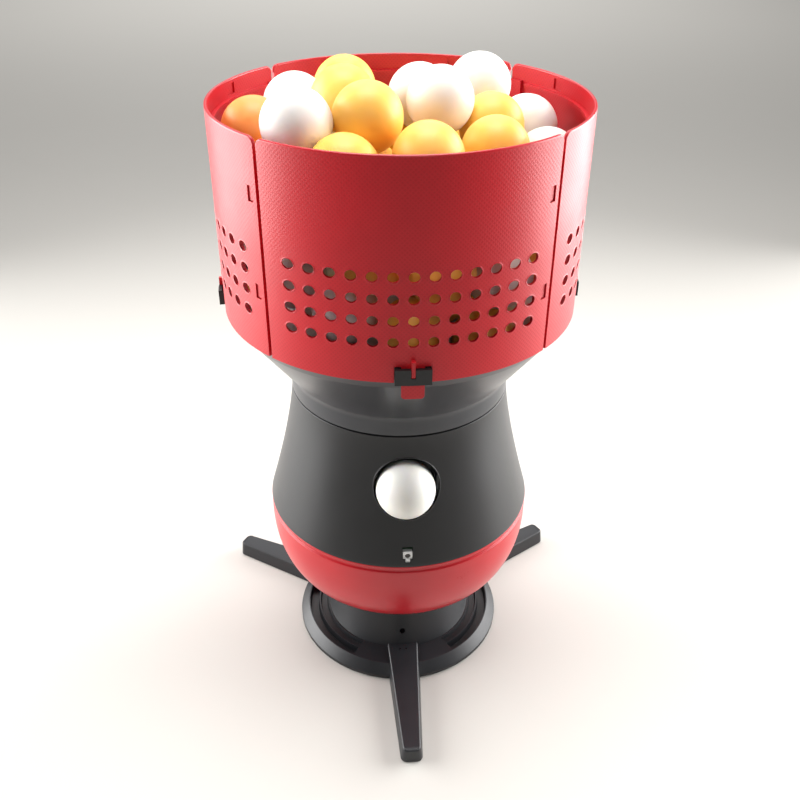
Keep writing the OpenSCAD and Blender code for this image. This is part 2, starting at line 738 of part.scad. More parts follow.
module hopper_panel() {
    tongue_a = asin(tongue_w / 2 / hopper_r);
    notch_a = asin((keeper_w / 2 + slide_gap) / hopper_r);
    flange_in = panel_in - 2.4;
    flange_low = rim_top + 2.4;
    flange_top = panel_top - gap_open;
    ledge_a = [-panel_half + 2.5, hook_a - 4];
    tongue_z = panel_z - tongue_drop;
    color("#b3202c") difference() {
        union() {
            difference() {
                union() {
                    sector(panel_in, hopper_r, tongue_z, panel_top, -panel_half, panel_half);
                    sector(panel_in - 2.7, panel_in + 0.6, rim_top + lift_gap, rim_top + 2, ledge_a[0], ledge_a[1]);
                    sector(panel_in - 2.7, panel_in + 0.6, panel_top - ledge_drop - 2, panel_top - ledge_drop,
                        ledge_a[0], ledge_a[1]);
                }
                for (s = [-1, 1]) {
                    edge_a = s * tongue_a;
                    sector(panel_in - 5, hopper_r + cut, tongue_z - cut, panel_z,
                        min(edge_a, s * (panel_half + 1)), max(edge_a, s * (panel_half + 1)));
                    sector(panel_in - 5, hopper_r + cut, panel_z - cut, panel_z + keeper_h + slide_gap,
                        min(edge_a, s * notch_a), max(edge_a, s * notch_a));
                }
            }
            block([-rib_w / 2, -hopper_r - 3.3, panel_z + 4.8], [rib_w / 2, -hopper_r + 1, panel_z + 14.8]);
            sector(flange_in, panel_in - 0.2, flange_low, flange_top, -panel_half - overlap_a, -panel_half + 1.5);
            sector(flange_in + 0.4, panel_in + 0.7, flange_low + 0.5, flange_top - 0.5,
                -panel_half + 0.2, -panel_half + 1.2);
            for (z = hook_levels) rotate([0, 0, hook_a - 90])
                block([-hook_w / 2 + 0.5, -panel_in - 1.3, panel_z + z - hook_h / 2 + 0.5],
                    [hook_w / 2 - 0.5, -panel_in + 0.6, panel_z + z + hook_h / 2 - 0.5]);
        }
        for (i = [0:vent_cols - 1], j = [0:vent_rows - 1])
            rod_y(vent_d / 2, (i - (vent_cols - 1) / 2) * vent_pitch, panel_z + vent_low + j * vent_row,
                -hopper_r - cut, -hopper_r * 0.72, $fn = 24);
        for (z = hook_levels) rotate([0, 0, hook_a])
            block([-hook_w / 2, -hopper_r - cut, panel_z + z - hook_h / 2],
                [hook_w / 2, -panel_in + 2, panel_z + z + hook_h / 2]);
        for (s = [-1, 1]) rotate([0, 0, s * pocket_a])
            block([-pocket_w / 2, -panel_in - 1, panel_top - pocket_bottom],
                [pocket_w / 2, -panel_in + 3, panel_top - pocket_top]);
        corner_cut(-panel_half, panel_top, corner_r, -1, 1);
        corner_cut(panel_half, panel_top, corner_r, 1, 1);
        corner_cut(-tongue_a, tongue_z, 2.5, -1, -1);
        corner_cut(tongue_a, tongue_z, 2.5, 1, -1);
    }
}

// ---- assembly ----

base_stand();
base_plate();
base_screws();
pivot_washer();
sweep_gear();
pivot_screw();
leg();  // leg_front
rotate([0, 0, 120]) leg();  // leg_right
rotate([0, 0, 240]) leg();  // leg_left
leg_pad();  // leg_pad_front
rotate([0, 0, 120]) leg_pad();  // leg_pad_right
rotate([0, 0, 240]) leg_pad();  // leg_pad_left
lower_shell();
upper_shell();
sensor_bezel();
sensor_lens();
sensor_board();
rear_panel();
power_inlet();
switch_housing();
switch_rocker();
deck();
deck_screws();
control_board();
sweep_bracket();
sweep_motor();
sweep_shaft();
sweep_pinion();
ball_chute();
wheel_motor(-1);  // wheel_motor_left
wheel_motor(1);  // wheel_motor_right
wheel_shaft(-1);  // wheel_shaft_left
wheel_shaft(1);  // wheel_shaft_right
wheel_hub(-1);  // wheel_hub_left
wheel_hub(1);  // wheel_hub_right
wheel_tyre(-1);  // wheel_tyre_left
wheel_tyre(1);  // wheel_tyre_right
hopper_bowl();
feed_motor();
feed_shaft();
feeder_disc();
ball_guard();
keeper();  // keeper_front
rotate([0, 0, 90]) keeper();  // keeper_right
rotate([0, 0, 180]) keeper();  // keeper_back
rotate([0, 0, 270]) keeper();  // keeper_left
hopper_panel();  // panel_front
rotate([0, 0, 90]) hopper_panel();  // panel_right
rotate([0, 0, 180]) hopper_panel();  // panel_back
rotate([0, 0, 270]) hopper_panel();  // panel_left
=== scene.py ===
# Table tennis ball robot: materials, smooth shells, balls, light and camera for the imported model.
# Lengths in the dictionaries are millimetres, angles are degrees from the front, and meshes are in metres.
import bpy
import bmesh
import json
import math
import numpy as np
from mathutils import Vector, Matrix


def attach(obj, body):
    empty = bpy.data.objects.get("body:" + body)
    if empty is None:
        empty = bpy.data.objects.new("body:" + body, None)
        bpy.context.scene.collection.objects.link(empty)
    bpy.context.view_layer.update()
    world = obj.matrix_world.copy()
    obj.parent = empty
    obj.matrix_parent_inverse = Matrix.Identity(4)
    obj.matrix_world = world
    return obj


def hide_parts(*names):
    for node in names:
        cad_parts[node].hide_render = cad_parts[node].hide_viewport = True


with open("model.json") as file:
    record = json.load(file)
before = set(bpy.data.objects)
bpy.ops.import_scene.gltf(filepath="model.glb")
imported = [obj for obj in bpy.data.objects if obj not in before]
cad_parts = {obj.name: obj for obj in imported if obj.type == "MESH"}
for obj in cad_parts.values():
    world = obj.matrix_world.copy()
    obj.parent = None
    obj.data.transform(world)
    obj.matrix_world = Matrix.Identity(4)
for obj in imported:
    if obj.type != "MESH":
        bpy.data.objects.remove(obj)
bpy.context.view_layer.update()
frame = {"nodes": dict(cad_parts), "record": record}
nodes = frame["nodes"]
mm = 0.001
print("frame loaded:", len(nodes), "nodes")


def linear(hexColour):
    # sRGB hex to the linear colour that the shader wants
    c = np.array([int(hexColour[i:i + 2], 16) for i in (1, 3, 5)]) / 255
    c = np.where(c <= 0.04045, c / 12.92, ((c + 0.055) / 1.055) ** 2.4)
    return (float(c[0]), float(c[1]), float(c[2]), 1.0)


def addNode(tree, kind, settings=None, links=None):
    # adds one node: settings by socket or property name, links by socket name from another node's output
    node = tree.nodes.new(kind)
    for name, value in (settings or {}).items():
        if name == "ramp":
            for i, (place, colour) in enumerate(value):
                stop = node.color_ramp.elements[i] if i < 2 else node.color_ramp.elements.new(place)
                stop.position, stop.color = place, colour
        elif isinstance(name, int) or name in node.inputs:
            node.inputs[name].default_value = value
        else:
            setattr(node, name, value)
    for name, source in (links or {}).items():
        tree.links.new(source, node.inputs[name])
    return node


def newMaterial(name, surface):
    mat = bpy.data.materials.new(name)
    mat.use_nodes = True
    shader = mat.node_tree.nodes["Principled BSDF"]
    for socket, value in surface.items():
        shader.inputs[socket].default_value = value
    return mat, mat.node_tree, shader


def shades(dark, light):
    # the ramp between a finish's darker and lighter tone
    return {"ramp": [(0.3, linear(dark)), (0.7, linear(light))]}


def joinSurface(tree, shader, tint, gloss, bump):
    # colour, roughness and relief into the material's shader
    tree.links.new(tint.outputs["Color"], shader.inputs["Base Color"])
    tree.links.new(gloss.outputs["Result"], shader.inputs["Roughness"])
    tree.links.new(bump.outputs["Normal"], shader.inputs["Normal"])


def mouldedPlastic(name, colours, rough, grain=0.9, relief=0.02, patch=55, extra=None):
    # a faint grain from the tool's spark finish, and broad patches where handling has polished it;
    # grain and patch are the sizes of the two patterns in mm, relief the depth of the grain in mm
    mat, tree, shader = newMaterial(name, {"IOR": 1.5, **(extra or {})})
    place = addNode(tree, "ShaderNodeTexCoord")
    broad = addNode(tree, "ShaderNodeTexNoise", {"Scale": 1000 / patch, "Detail": 4.0, "Roughness": 0.55},
                    {"Vector": place.outputs["Object"]})
    fine = addNode(tree, "ShaderNodeTexNoise", {"Scale": 1000 / grain, "Detail": 3.0, "Roughness": 0.6},
                   {"Vector": place.outputs["Object"]})
    tint = addNode(tree, "ShaderNodeValToRGB", shades(*colours), {"Fac": broad.outputs["Fac"]})
    both = addNode(tree, "ShaderNodeMath", {"operation": "MULTIPLY_ADD", 1: 0.35},
                   {0: fine.outputs["Fac"], 2: broad.outputs["Fac"]})
    gloss = addNode(tree, "ShaderNodeMapRange", {"From Min": 0.4, "From Max": 0.95,
                    "To Min": rough[0], "To Max": rough[1]}, {"Value": both.outputs[0]})
    bump = addNode(tree, "ShaderNodeBump", {"Strength": 0.6, "Distance": relief * mm},
                   {"Height": fine.outputs["Fac"]})
    joinSurface(tree, shader, tint, gloss, bump)
    return mat


def metal(name, colours, rough, grain, stretch, relief=0.01):
    # fine lines along the axis that the tool or the roller ran; stretch draws the noise out along Z
    mat, tree, shader = newMaterial(name, {"Metallic": 1.0})
    place = addNode(tree, "ShaderNodeTexCoord")
    drawn = addNode(tree, "ShaderNodeMapping", {"Scale": (1.0, 1.0, stretch)}, {"Vector": place.outputs["Object"]})
    lines = addNode(tree, "ShaderNodeTexNoise", {"Scale": 1000 / grain, "Detail": 5.0},
                    {"Vector": drawn.outputs["Vector"]})
    tint = addNode(tree, "ShaderNodeValToRGB", shades(*colours), {"Fac": lines.outputs["Fac"]})
    gloss = addNode(tree, "ShaderNodeMapRange", {"To Min": rough[0], "To Max": rough[1]},
                    {"Value": lines.outputs["Fac"]})
    bump = addNode(tree, "ShaderNodeBump", {"Strength": 0.4, "Distance": relief * mm},
                   {"Height": lines.outputs["Fac"]})
    joinSurface(tree, shader, tint, gloss, bump)
    return mat


# the hopper's outer face is ABS moulded against an etched diagonal mesh, which breaks the gloss into a fine weave
panelLook = {"deep": "#b40c1a", "bright": "#c41320", "pitch": 1.9, "cloud": 45, "relief": 0.055,
             "roughLow": 0.36, "roughHigh": 0.52}


def hatchedPanel(look):
    # two sets of diagonal ridges on the panel's own flat map, whose units are metres along the arc and up the wall;
    # the etched mesh is about 1 mm, and is drawn at 1.9 mm so that it shows;
    # a diagonal wave of scale 1 has its ridges 2 pi / (10 sqrt 2) apart
    mat, tree, shader = newMaterial("absPanelEtchedRed", {"IOR": 1.5})
    flat = addNode(tree, "ShaderNodeUVMap", {"uv_map": "wall"})
    ridgesApart = 0.4443
    scale = ridgesApart / (look["pitch"] * mm)
    waves = []
    for side in (-1, 1):
        leaning = addNode(tree, "ShaderNodeMapping", {"Scale": (side, 1.0, 1.0)}, {"Vector": flat.outputs["UV"]})
        waves.append(addNode(tree, "ShaderNodeTexWave", {"bands_direction": "DIAGONAL", "Scale": scale},
                             {"Vector": leaning.outputs["Vector"]}))
    weave = addNode(tree, "ShaderNodeMath", {"operation": "MAXIMUM"},
                    {0: waves[0].outputs["Fac"], 1: waves[1].outputs["Fac"]})
    place = addNode(tree, "ShaderNodeTexCoord")
    cloud = addNode(tree, "ShaderNodeTexNoise", {"Scale": 1000 / look["cloud"], "Detail": 4.0},
                    {"Vector": place.outputs["Object"]})
    shade = addNode(tree, "ShaderNodeMath", {"operation": "MULTIPLY_ADD", 1: 0.45},
                    {0: weave.outputs[0], 2: cloud.outputs["Fac"]})
    tint = addNode(tree, "ShaderNodeValToRGB",
                   {"ramp": [(0.45, linear(look["deep"])), (1.0, linear(look["bright"]))]}, {"Fac": shade.outputs[0]})
    gloss = addNode(tree, "ShaderNodeMapRange", {"From Min": 0.3, "From Max": 1.1, "To Min": look["roughHigh"],
                    "To Max": look["roughLow"]}, {"Value": shade.outputs[0]})
    bump = addNode(tree, "ShaderNodeBump", {"Strength": 0.7, "Distance": look["relief"] * mm},
                   {"Height": weave.outputs[0]})
    joinSurface(tree, shader, tint, gloss, bump)
    return mat


# depths and pattern sizes in mm: how far light goes in, the frosting's grain, the uneven tint and the seam's relief
ballLook = {"lightDepth": 6, "frost": 0.8, "cloud": 25, "relief": 0.05, "rough": (0.36, 0.52)}


def ballPlastic(name, colours, glow, look=ballLook):
    # thin-walled matt plastic ball: light goes a little way in, and the two halves meet in a fine ring
    mat, tree, shader = newMaterial(name, {"IOR": 1.46, "Subsurface Weight": glow,
                                           "Subsurface Scale": look["lightDepth"] * mm,
                                           "Subsurface Radius": (1.0, 0.75, 0.45)})
    place = addNode(tree, "ShaderNodeTexCoord")
    flat = addNode(tree, "ShaderNodeUVMap", {"uv_map": "wall"})
    split = addNode(tree, "ShaderNodeSeparateXYZ", {}, {"Vector": flat.outputs["UV"]})
    white, black = (1, 1, 1, 1), (0, 0, 0, 1)
    seam = addNode(tree, "ShaderNodeValToRGB", {"ramp": [(0.49, white), (0.51, white), (0.5, black)]},
                   {"Fac": split.outputs["Y"]})
    frost = addNode(tree, "ShaderNodeTexNoise", {"Scale": 1000 / look["frost"], "Detail": 3.0},
                    {"Vector": place.outputs["Object"]})
    cloud = addNode(tree, "ShaderNodeTexNoise", {"Scale": 1000 / look["cloud"], "Detail": 3.0},
                    {"Vector": place.outputs["Object"]})
    tint = addNode(tree, "ShaderNodeValToRGB", shades(*colours), {"Fac": cloud.outputs["Fac"]})
    gloss = addNode(tree, "ShaderNodeMapRange", {"To Min": look["rough"][0], "To Max": look["rough"][1]},
                    {"Value": frost.outputs["Fac"]})
    height = addNode(tree, "ShaderNodeMath", {"operation": "MULTIPLY_ADD", 1: 0.2},
                     {0: frost.outputs["Fac"], 2: seam.outputs["Color"]})
    bump = addNode(tree, "ShaderNodeBump", {"Strength": 0.25, "Distance": look["relief"] * mm},
                   {"Height": height.outputs[0]})
    joinSurface(tree, shader, tint, gloss, bump)
    return mat


# ABS shells straight from a polished tool: even colour, broad soft highlights under a thin sheen
sheen = {"Coat Weight": 0.15, "Coat Roughness": 0.2}
faintSheen = {"Coat Weight": 0.1, "Coat Roughness": 0.2}
shellBlack = mouldedPlastic("absShellSatinBlack", ("#101012", "#161619"), (0.36, 0.45), relief=0.008, extra=sheen)
shellRed = mouldedPlastic("absShellSatinRed", ("#b50f1d", "#c21623"), (0.26, 0.36), relief=0.008, extra=sheen)
panelRed = hatchedPanel(panelLook)
bowlGrey = mouldedPlastic("absBowlSatinGrey", ("#2a2b2f", "#333438"), (0.26, 0.36), relief=0.01, extra=faintSheen)
# glass-filled nylon stand: a dry, slightly grained black
standBlack = mouldedPlastic("nylonStandGrainedBlack", ("#151619", "#1d1e22"), (0.38, 0.48), grain=1.1, relief=0.035)
# small ABS parts off a textured tool: matt, so their edges stay soft
trimBlack = mouldedPlastic("absTrimMattBlack", ("#101011", "#18181a"), (0.38, 0.5))
plasticWhite = mouldedPlastic("absMouldedWhite", ("#dcdcda", "#ececea"), (0.35, 0.5))
plasticDark = mouldedPlastic("absMouldedCharcoal", ("#2b2d31", "#3a3c41"), (0.4, 0.55), relief=0.025)
# acetal turned and milled from bar: milky, with fine tool marks
acetalNatural = mouldedPlastic("acetalMachinedNatural", ("#d9d4c4", "#e6e2d6"), (0.3, 0.42), grain=0.5, relief=0.015)
# rubber: nearly no gloss, the tyres ground to a dusty nap
rubberPad = mouldedPlastic("rubberPadMouldedBlack", ("#0e0e0e", "#191919"), (0.75, 0.9), grain=0.7, relief=0.05)
rubberTyre = mouldedPlastic("rubberTyreGroundBlack", ("#1b1b1d", "#2a2a2d"), (0.7, 0.88), grain=0.6, relief=0.08)
# solder mask over glass cloth: a glossy green with the cloth's faint ripple
boardGreen = mouldedPlastic("fibreglassBoardSolderMask", ("#0c3a1c", "#155a2b"), (0.25, 0.4), grain=1.6)
# smoked acrylic that passes infrared: nearly black with a wine tint
lensSmoked = mouldedPlastic("acrylicLensPolishedSmoke", ("#16060a", "#240a10"), (0.08, 0.14), relief=0.002)
# ground shafts show fine lines round them, zinc plate a soft cloudy shine
steelGround = metal("steelShaftGround", ("#8b8c8e", "#a9aaac"), (0.2, 0.34), 0.5, 0.1)
steelZinc = metal("steelZincPlated", ("#8f9296", "#b4b6b9"), (0.28, 0.46), 2.5, 1.0, relief=0.02)
ballWhite = ballPlastic("plasticBallMattWhite", ("#e9e6df", "#f3f1ec"), 0.25)
ballYellow = ballPlastic("plasticBallMattAmber", ("#fcc052", "#fecd68"), 0.35)
ballOrange = ballPlastic("plasticBallMattOrange", ("#f9984a", "#fba457"), 0.35)

finishes = {
    "black_shell": shellBlack, "red_shell": shellRed, "red_panel": panelRed, "grey_bowl": bowlGrey,
    "black_stand": standBlack, "black_trim": trimBlack, "white_plastic": plasticWhite,
    "natural_acetal": acetalNatural, "dark_plastic": plasticDark, "soft_rubber": rubberPad,
    "tyre_rubber": rubberTyre, "steel": steelGround, "zinc_steel": steelZinc,
    "circuit_board": boardGreen, "lens": lensSmoked,
}
for part in frame["record"]["subparts"]:
    nodeObject = nodes[part["node"]]
    nodeObject.data.materials.clear()
    nodeObject.data.materials.append(finishes[part["material_slot"]])
print("materials:", len(finishes) + 3)


def putMesh(name, points, faces, material, flatMap=None, sharp=32, fixNormals=True):
    # points in mm; smooth shading with the edges sharper than the given angle kept crisp
    mesh = bpy.data.meshes.new(name)
    faceList = faces if isinstance(faces, list) else faces.tolist()
    mesh.from_pydata((np.asarray(points, float) * mm).tolist(), [], faceList)
    if flatMap is not None:
        loops = np.zeros(len(mesh.loops), int)
        mesh.loops.foreach_get("vertex_index", loops)
        mesh.uv_layers.new(name="wall").data.foreach_set("uv", np.asarray(flatMap, float)[loops].ravel())
    if fixNormals:
        work = bmesh.new()
        work.from_mesh(mesh)
        bmesh.ops.recalc_face_normals(work, faces=work.faces)
        work.to_mesh(mesh)
        work.free()
    mesh.shade_smooth()
    mesh.set_sharp_from_angle(angle=math.radians(sharp))
    mesh.materials.append(material)
    piece = bpy.data.objects.new(name, mesh)
    bpy.context.scene.collection.objects.link(piece)
    return piece


def gridFaces(rows, cols, wrapRows=False, wrapCols=False):
    # the quads of a grid of points numbered row by row
    r = np.arange(rows if wrapRows else rows - 1)[:, None]
    c = np.arange(cols if wrapCols else cols - 1)[None, :]
    r2, c2 = (r + 1) % rows, (c + 1) % cols
    return np.stack([r * cols + c, r * cols + c2, r2 * cols + c2, r2 * cols + c], -1).reshape(-1, 4)


def cappedFaces(rows, cols):
    # the same for a tube of closed rows, with a face over each end
    ends = [list(range(cols)), list(range((rows - 1) * cols, rows * cols))]
    return gridFaces(rows, cols, False, True).tolist() + ends


def turned(radius, angle, height):
    # a point at a radius, an angle from the front and a height
    a = np.radians(angle)
    return np.stack(np.broadcast_arrays(radius * np.sin(a), -radius * np.cos(a), height), -1)


def softOutline(corners, step=3.0, arcs=5):
    # closed outline from corners (x, y, fillet): each corner is replaced by an arc tangent to its two edges,
    # and each straight run is cut into lengths of about step
    pts = np.array([c[:2] for c in corners], float)
    out, ends = [], []
    for i, (x, y, fillet) in enumerate(corners):
        p = pts[i]
        u, v = pts[i - 1] - p, pts[(i + 1) % len(pts)] - p
        lu, lv = np.linalg.norm(u), np.linalg.norm(v)
        u, v = u / lu, v / lv
        half = math.acos(max(-1.0, min(1.0, float(u @ v)))) / 2
        if fillet <= 0 or half > math.pi / 2 - 0.01:
            ends.append([p])
            continue
        back = min(fillet / math.tan(half), 0.45 * lu, 0.45 * lv)
        r = back * math.tan(half)
        mid = (u + v) / np.linalg.norm(u + v)
        centre = p + mid * (r / math.sin(half))
        a, b = p + u * back - centre, p + v * back - centre
        sweep = math.pi - 2 * half
        k = np.linspace(0, 1, arcs)
        arc = (np.sin((1 - k) * sweep)[:, None] * a + np.sin(k * sweep)[:, None] * b) / math.sin(sweep)
        ends.append(list(centre + arc))
    for i in range(len(ends)):
        out.extend(ends[i])
        a, b = ends[i][-1], ends[(i + 1) % len(ends)][0]
        cuts = int(np.linalg.norm(b - a) // step)
        out.extend([a + (b - a) * k / (cuts + 1) for k in range(1, cuts + 1)])
    return np.array(out)


def turnedShell(name, outline, material, sides=240, angles=None, change=None):
    # a closed outline (radius, height) carried round the axis; change(points r, a, z) may move it
    angles = np.arange(sides) * 360 / sides if angles is None else angles
    r, a = np.meshgrid(outline[:, 0], angles, indexing="ij")
    z = np.repeat(outline[:, 1:2], len(angles), 1)
    if change:
        r, z = change(r, a, z)
    return putMesh(name, turned(r, a, z).reshape(-1, 3), gridFaces(len(outline), len(angles), True, True), material)


def cutterRod(x, z, r, y0, y1, sides=96):
    # a round bar along Y, for cutting
    t = np.arange(sides) * 2 * np.pi / sides
    ring = np.stack([x + r * np.cos(t), np.zeros(sides), z + r * np.sin(t)], -1)
    pts = np.concatenate([ring + [0, y0, 0], ring + [0, y1, 0]])
    return putMesh("cutterRod", pts, cappedFaces(2, sides), trimBlack)


def cutterPost(x, y, r, z0, z1, sides=64):
    # a round bar along Z, for cutting
    t = np.arange(sides) * 2 * np.pi / sides
    ring = np.stack([x + r * np.cos(t), y + r * np.sin(t), np.zeros(sides)], -1)
    pts = np.concatenate([ring + [0, 0, z0], ring + [0, 0, z1]])
    return putMesh("cutterPost", pts, cappedFaces(2, sides), trimBlack)


def cutterBlock(low, high):
    # a block by its lowest and highest corners, for cutting
    (x0, y0, z0), (x1, y1, z1) = low, high
    ring = np.array([[x0, y0], [x1, y0], [x1, y1], [x0, y1]], float)
    pts = np.concatenate([np.c_[ring, np.full(4, z0)], np.c_[ring, np.full(4, z1)]])
    return putMesh("cutterBlock", pts, cappedFaces(2, 4), trimBlack)


def carve(piece, cutters, sharp=32, crossing=False):
    # takes the cutters away from the piece for good, and removes them; crossing is for a piece that meets itself
    for cutter in cutters:
        cut = piece.modifiers.new("carve", "BOOLEAN")
        cut.operation, cut.solver, cut.use_self, cut.object = "DIFFERENCE", "EXACT", crossing, cutter
    graph = bpy.context.evaluated_depsgraph_get()
    mesh = bpy.data.meshes.new_from_object(piece.evaluated_get(graph))
    piece.modifiers.clear()
    old = piece.data
    piece.data = mesh
    bpy.data.meshes.remove(old)
    mesh.shade_smooth()
    mesh.set_sharp_from_angle(angle=math.radians(sharp))
    for cutter in cutters:
        bpy.data.objects.remove(cutter)
    return piece


def spin(points, angle):
    # points turned about the axis, angle from the front
    a = math.radians(angle)
    return points @ np.array([[math.cos(a), math.sin(a), 0], [-math.sin(a), math.cos(a), 0], [0, 0, 1]])


stand = {
    "footR": 80.5, "footZ": 0.8, "footEdge": 3.8, "bandR": 74.0, "footTop": 10.8, "flareR": 57.0, "neckR": 46.0,
    "top": 62.0, "postR": 12.0, "postTop": 75.45, "screwR": 2.5, "hubR": 16.0, "wall": 4.0, "plateR": 47.5,
    "plateTop": 3.0, "seatR": 64.0, "pinholeR": 2.2, "pinholeUp": 12.0, "bellPower": 2.2,
    "trackOut": 73.0, "trackIn": 65.7, "stepOut": 64.4, "stepIn": 58.5, "trackDeep": 6.0, "stepDeep": 3.0,
    "edge": 0.7, "spans": [(32, 104), (136, 224), (256, 328)], "spanEdge": 0.25,
}


def makeStand(s):
    # outline: sloping foot band, flat ring, then a bell whose radius falls from flare to neck as (1 - t) to a power;
    # inside the angle spans the flat ring drops by the depth of the track or of the inner step
    t = np.linspace(0, 1, 26)
    bell = np.c_[s["neckR"] + (s["flareR"] - s["neckR"]) * (1 - t) ** s["bellPower"],
                 s["footTop"] + (s["top"] - 1 - s["footTop"]) * t]
    e = s["edge"]
    rings = [s["bandR"] - 0.3]
    for outer, inner in ((s["trackOut"], s["trackIn"]), (s["stepOut"], s["stepIn"])):
        rings += [outer + 0.1, outer - e * 0.5, outer - e, (outer + inner) / 2,
                  inner + e, inner + e * 0.5, inner - 0.1]
    lower = softOutline([
        (s["footR"], s["footZ"], 0.5), (s["footR"], s["footEdge"], 0.8), (s["bandR"], s["footTop"], 0.9),
        (s["bandR"] - 3, s["footTop"], 0), (20, s["footTop"], 0), (20, s["footZ"], 0)])
    edge = lower[: np.argmax(lower[:, 0] <= s["bandR"] - 0.9)]
    wall, top = s["neckR"] - s["wall"], s["top"]
    outline = np.concatenate([
        edge, [[r, s["footTop"]] for r in rings], bell,
        [[s["neckR"] - 0.3, top - 0.3], [s["neckR"] - 1, top], [30, top], [s["postR"] + 0.3, top],
         [s["postR"], top + 0.3], [s["postR"], s["postTop"]], [s["screwR"], s["postTop"]], [s["screwR"], s["footZ"]],
         [s["hubR"], s["footZ"]], [s["hubR"], top - 5], [wall - 6, top - 5], [wall, top - 14],
         [wall, s["plateTop"]], [s["plateR"], s["plateTop"]], [s["plateR"], s["footZ"]], [s["seatR"], s["footZ"]]]])
    ends = [a + k for span in s["spans"] for a in span for k in (-s["spanEdge"], 0, s["spanEdge"])]
    angles = np.unique(np.concatenate([np.arange(0, 360, 1.5), ends]))
    angles = angles[np.r_[True, np.diff(angles) > 0.05]]

    def sink(r, a, z):
        depth = np.zeros_like(z)
        for outer, inner, deep in ((s["trackOut"], s["trackIn"], s["trackDeep"]),
                                   (s["stepOut"], s["stepIn"], s["stepDeep"])):
            rise = np.clip(np.minimum(outer - r, r - inner) / e, 0, 1)
            depth += deep * rise * rise * (3 - 2 * rise)
        within = np.zeros_like(z)
        for a0, a1 in s["spans"]:
            within = np.maximum(within, np.clip(np.minimum(a - a0, a1 - a) / s["spanEdge"], 0, 1))
        onRing = (np.abs(z - s["footTop"]) < 1e-6) & (r > s["flareR"])
        return r, np.where(onRing, z - depth * within, z)

    body = turnedShell("standBody", outline, standBlack, angles=angles, change=sink)
    cutters = [cutterRod(0, s["footTop"] + s["pinholeUp"], s["pinholeR"], -s["flareR"], -s["flareR"] + 12, 32)]
    # slots that take the legs, the same taper as a leg
    below = np.array([[-leg["rootHalf"], -leg["root"]], [leg["rootHalf"], -leg["root"]],
                      [leg["tipHalf"], -leg["reach"] - 3], [-leg["tipHalf"], -leg["reach"] - 3]])
    above = below - np.sign(below * [1, 0]) * [leg["draft"], 0]
    slot = np.concatenate([np.c_[below, np.full(4, -0.5)], np.c_[above, np.full(4, leg["z0"] + leg["height"])]])
    for turn in legTurns.values():
        cutters.append(putMesh("cutterLeg", spin(slot, turn), cappedFaces(2, 4), trimBlack))
    carve(body, cutters, crossing=True)
    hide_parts("base_stand")
    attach(body, "stand")


leg = {
    "root": 52.5, "reach": 154.0, "rootHalf": 13.4, "tipHalf": 7.7, "draft": 1.6, "z0": 0.8, "height": 12.0,
    "edge": 1.3, "tipRound": 3.2, "tipLength": 4.0, "padR": 4.5, "padY": 144.0,
    "screwY": (66.0, 75.0), "headR": 3.0, "screwR": 1.5, "dotY": 61.0, "dotX": 2.4, "dotR": 0.7,
}
legTurns = {"leg_front": 0, "leg_right": 120, "leg_left": 240}


def makeLeg(node, turn, g):
    # a tapered bar: half width runs straight from root to tip, its sides lean in by the draft, its top edges
    # are rounded by arcs, and its tip follows the circle of the legs' reach and rounds over by a quarter ellipse
    stations, tip = 34, g["tipLength"]
    bend = np.radians([0, 15, 30, 45, 58, 70, 80, 90])
    out = np.concatenate([np.linspace(g["root"], g["reach"] - tip - 0.5, stations),
                          g["reach"] - tip + tip * np.sin(bend)])
    shrink = np.concatenate([np.zeros(stations), 1 - np.cos(bend)])
    rows = []
    for y, less in zip(out, shrink):
        taper = (g["tipHalf"] - g["rootHalf"]) * (y - g["root"]) / (g["reach"] - g["root"])
        w = g["rootHalf"] + taper - less * g["tipRound"]
        top = g["z0"] + g["height"] - less * g["edge"]
        side = w - g["draft"]
        half = softOutline([(-w, g["z0"], 0.3), (-side, top, g["edge"]), (side, top, g["edge"]), (w, g["z0"], 0.3)],
                           step=99, arcs=7)
        bow = np.sqrt(np.maximum(y * y - half[:, 0] ** 2, 0))
        rows.append(np.c_[half[:, 0], -(bow if y > g["reach"] - 2 * tip else np.full(len(half), y)), half[:, 1]])
    rows = np.array(rows)
    piece = putMesh(node.replace("_", "") + "Bar", spin(rows.reshape(-1, 3), turn), cappedFaces(*rows.shape[:2]),
                    standBlack, sharp=40)

    def hole(x, y, radius, low, high, sides):
        px, py = spin(np.array([[x, -y, 0.0]]), turn)[0][:2]
        return cutterPost(px, py, radius, low, high, sides)

    cutters = [hole(0, g["padY"], g["padR"], -1, g["z0"] + 2, 64)]
    cutters += [hole(0, y, g["headR"], -1, g["z0"] + 2, 32) for y in g["screwY"]]
    cutters += [hole(0, y, g["screwR"], -1, g["height"] - 2, 24) for y in g["screwY"]]
    cutters += [hole(x, g["dotY"], g["dotR"], g["height"] - 0.4, g["height"] + 3, 16)
                for x in (-g["dotX"], g["dotX"])]
    carve(piece, cutters, 40)
    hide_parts(node)
    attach(piece, "stand")


makeStand(stand)
for legNode, legTurn in legTurns.items():
    makeLeg(legNode, legTurn, leg)
print("stand and legs")


head = {
    "bodyR": 96.4, "neckR": 75.8, "footR": 65.4, "bottom": 63.55, "floor": 66.55, "bulge": 118.35, "seam": 130.85,
    "neck": 225.05, "wall": 2.4, "taper": 1.35, "grooveDeep": 1.3, "grooveTall": 3.6, "lip": 1.6,
    "outletZ": 186.85, "outletR": 22.0, "outletBead": 0.75, "windowW": 6.9, "windowZ": 136.35, "windowH": 9.0,
    "notchHalf": 1.6, "notchDrop": 2.3, "socketW": 44.0, "socketZ": 99.55, "socketH": 24.0, "socketY": 84.9,
    "postHole": 12.05, "collarR": 16.0, "collarUp": 2.5, "lipThick": 3.7,
}


